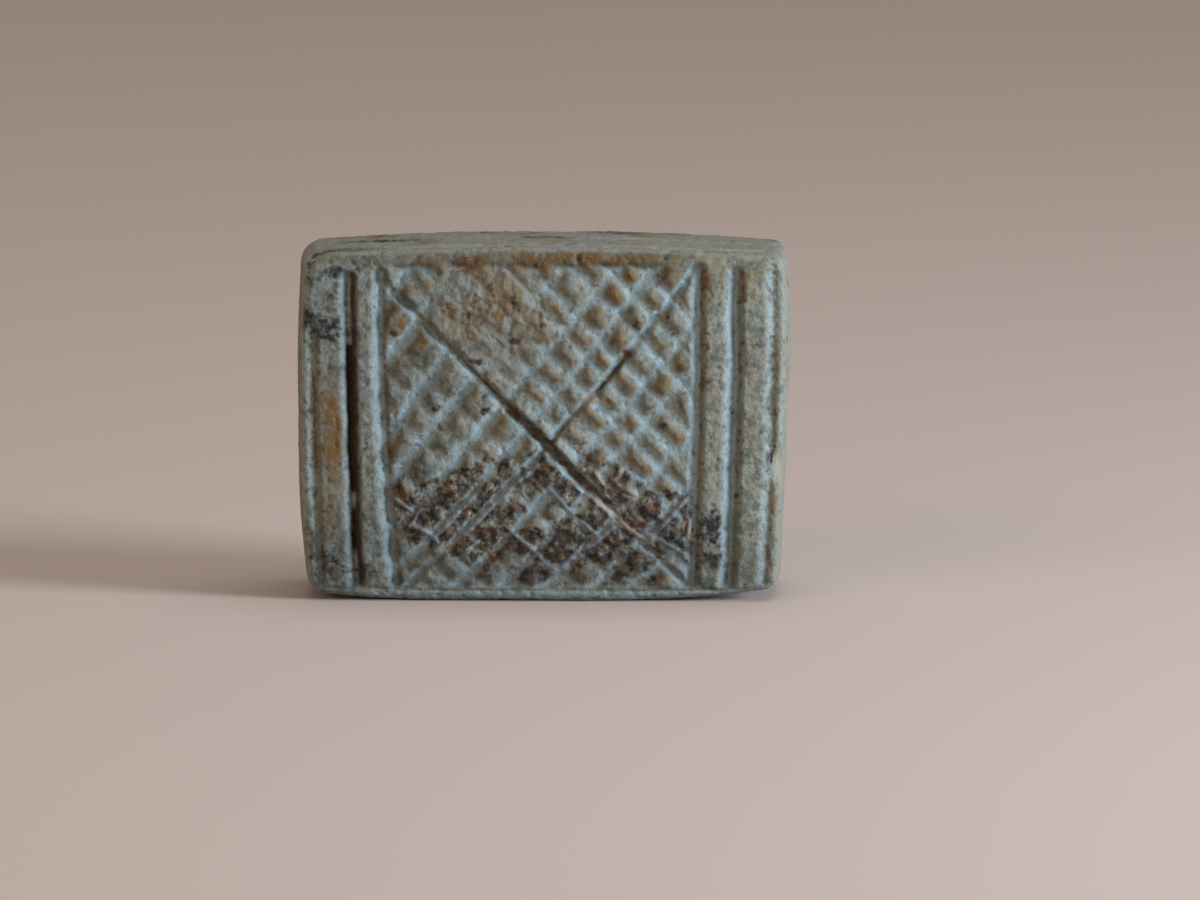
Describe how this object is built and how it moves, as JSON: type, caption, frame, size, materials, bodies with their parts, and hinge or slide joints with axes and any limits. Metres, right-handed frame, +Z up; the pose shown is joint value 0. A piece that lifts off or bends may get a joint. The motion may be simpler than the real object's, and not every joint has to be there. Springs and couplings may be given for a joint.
{
  "type": "engraved amulet bead",
  "caption": "Small rectangular stone plaque bead, strung lengthwise, with upright grooves at each end and a lattice-filled cross between them.",
  "frame": {"origin": "centre of the underside, the long narrow edge that the bead stands on", "axes": "+X along the length and the string hole, the engraved front faces -Y, +Z up"},
  "size_m": [0.0204, 0.0072, 0.0147],
  "materials": {
    "glazed_steatite": "matt olive-grey stone, worn and pitted, with pale blue-green glaze left in the cuts"
  },
  "bodies": {
    "root": {"engraved_bead": "glazed_steatite"}
  },
  "joints": []
}
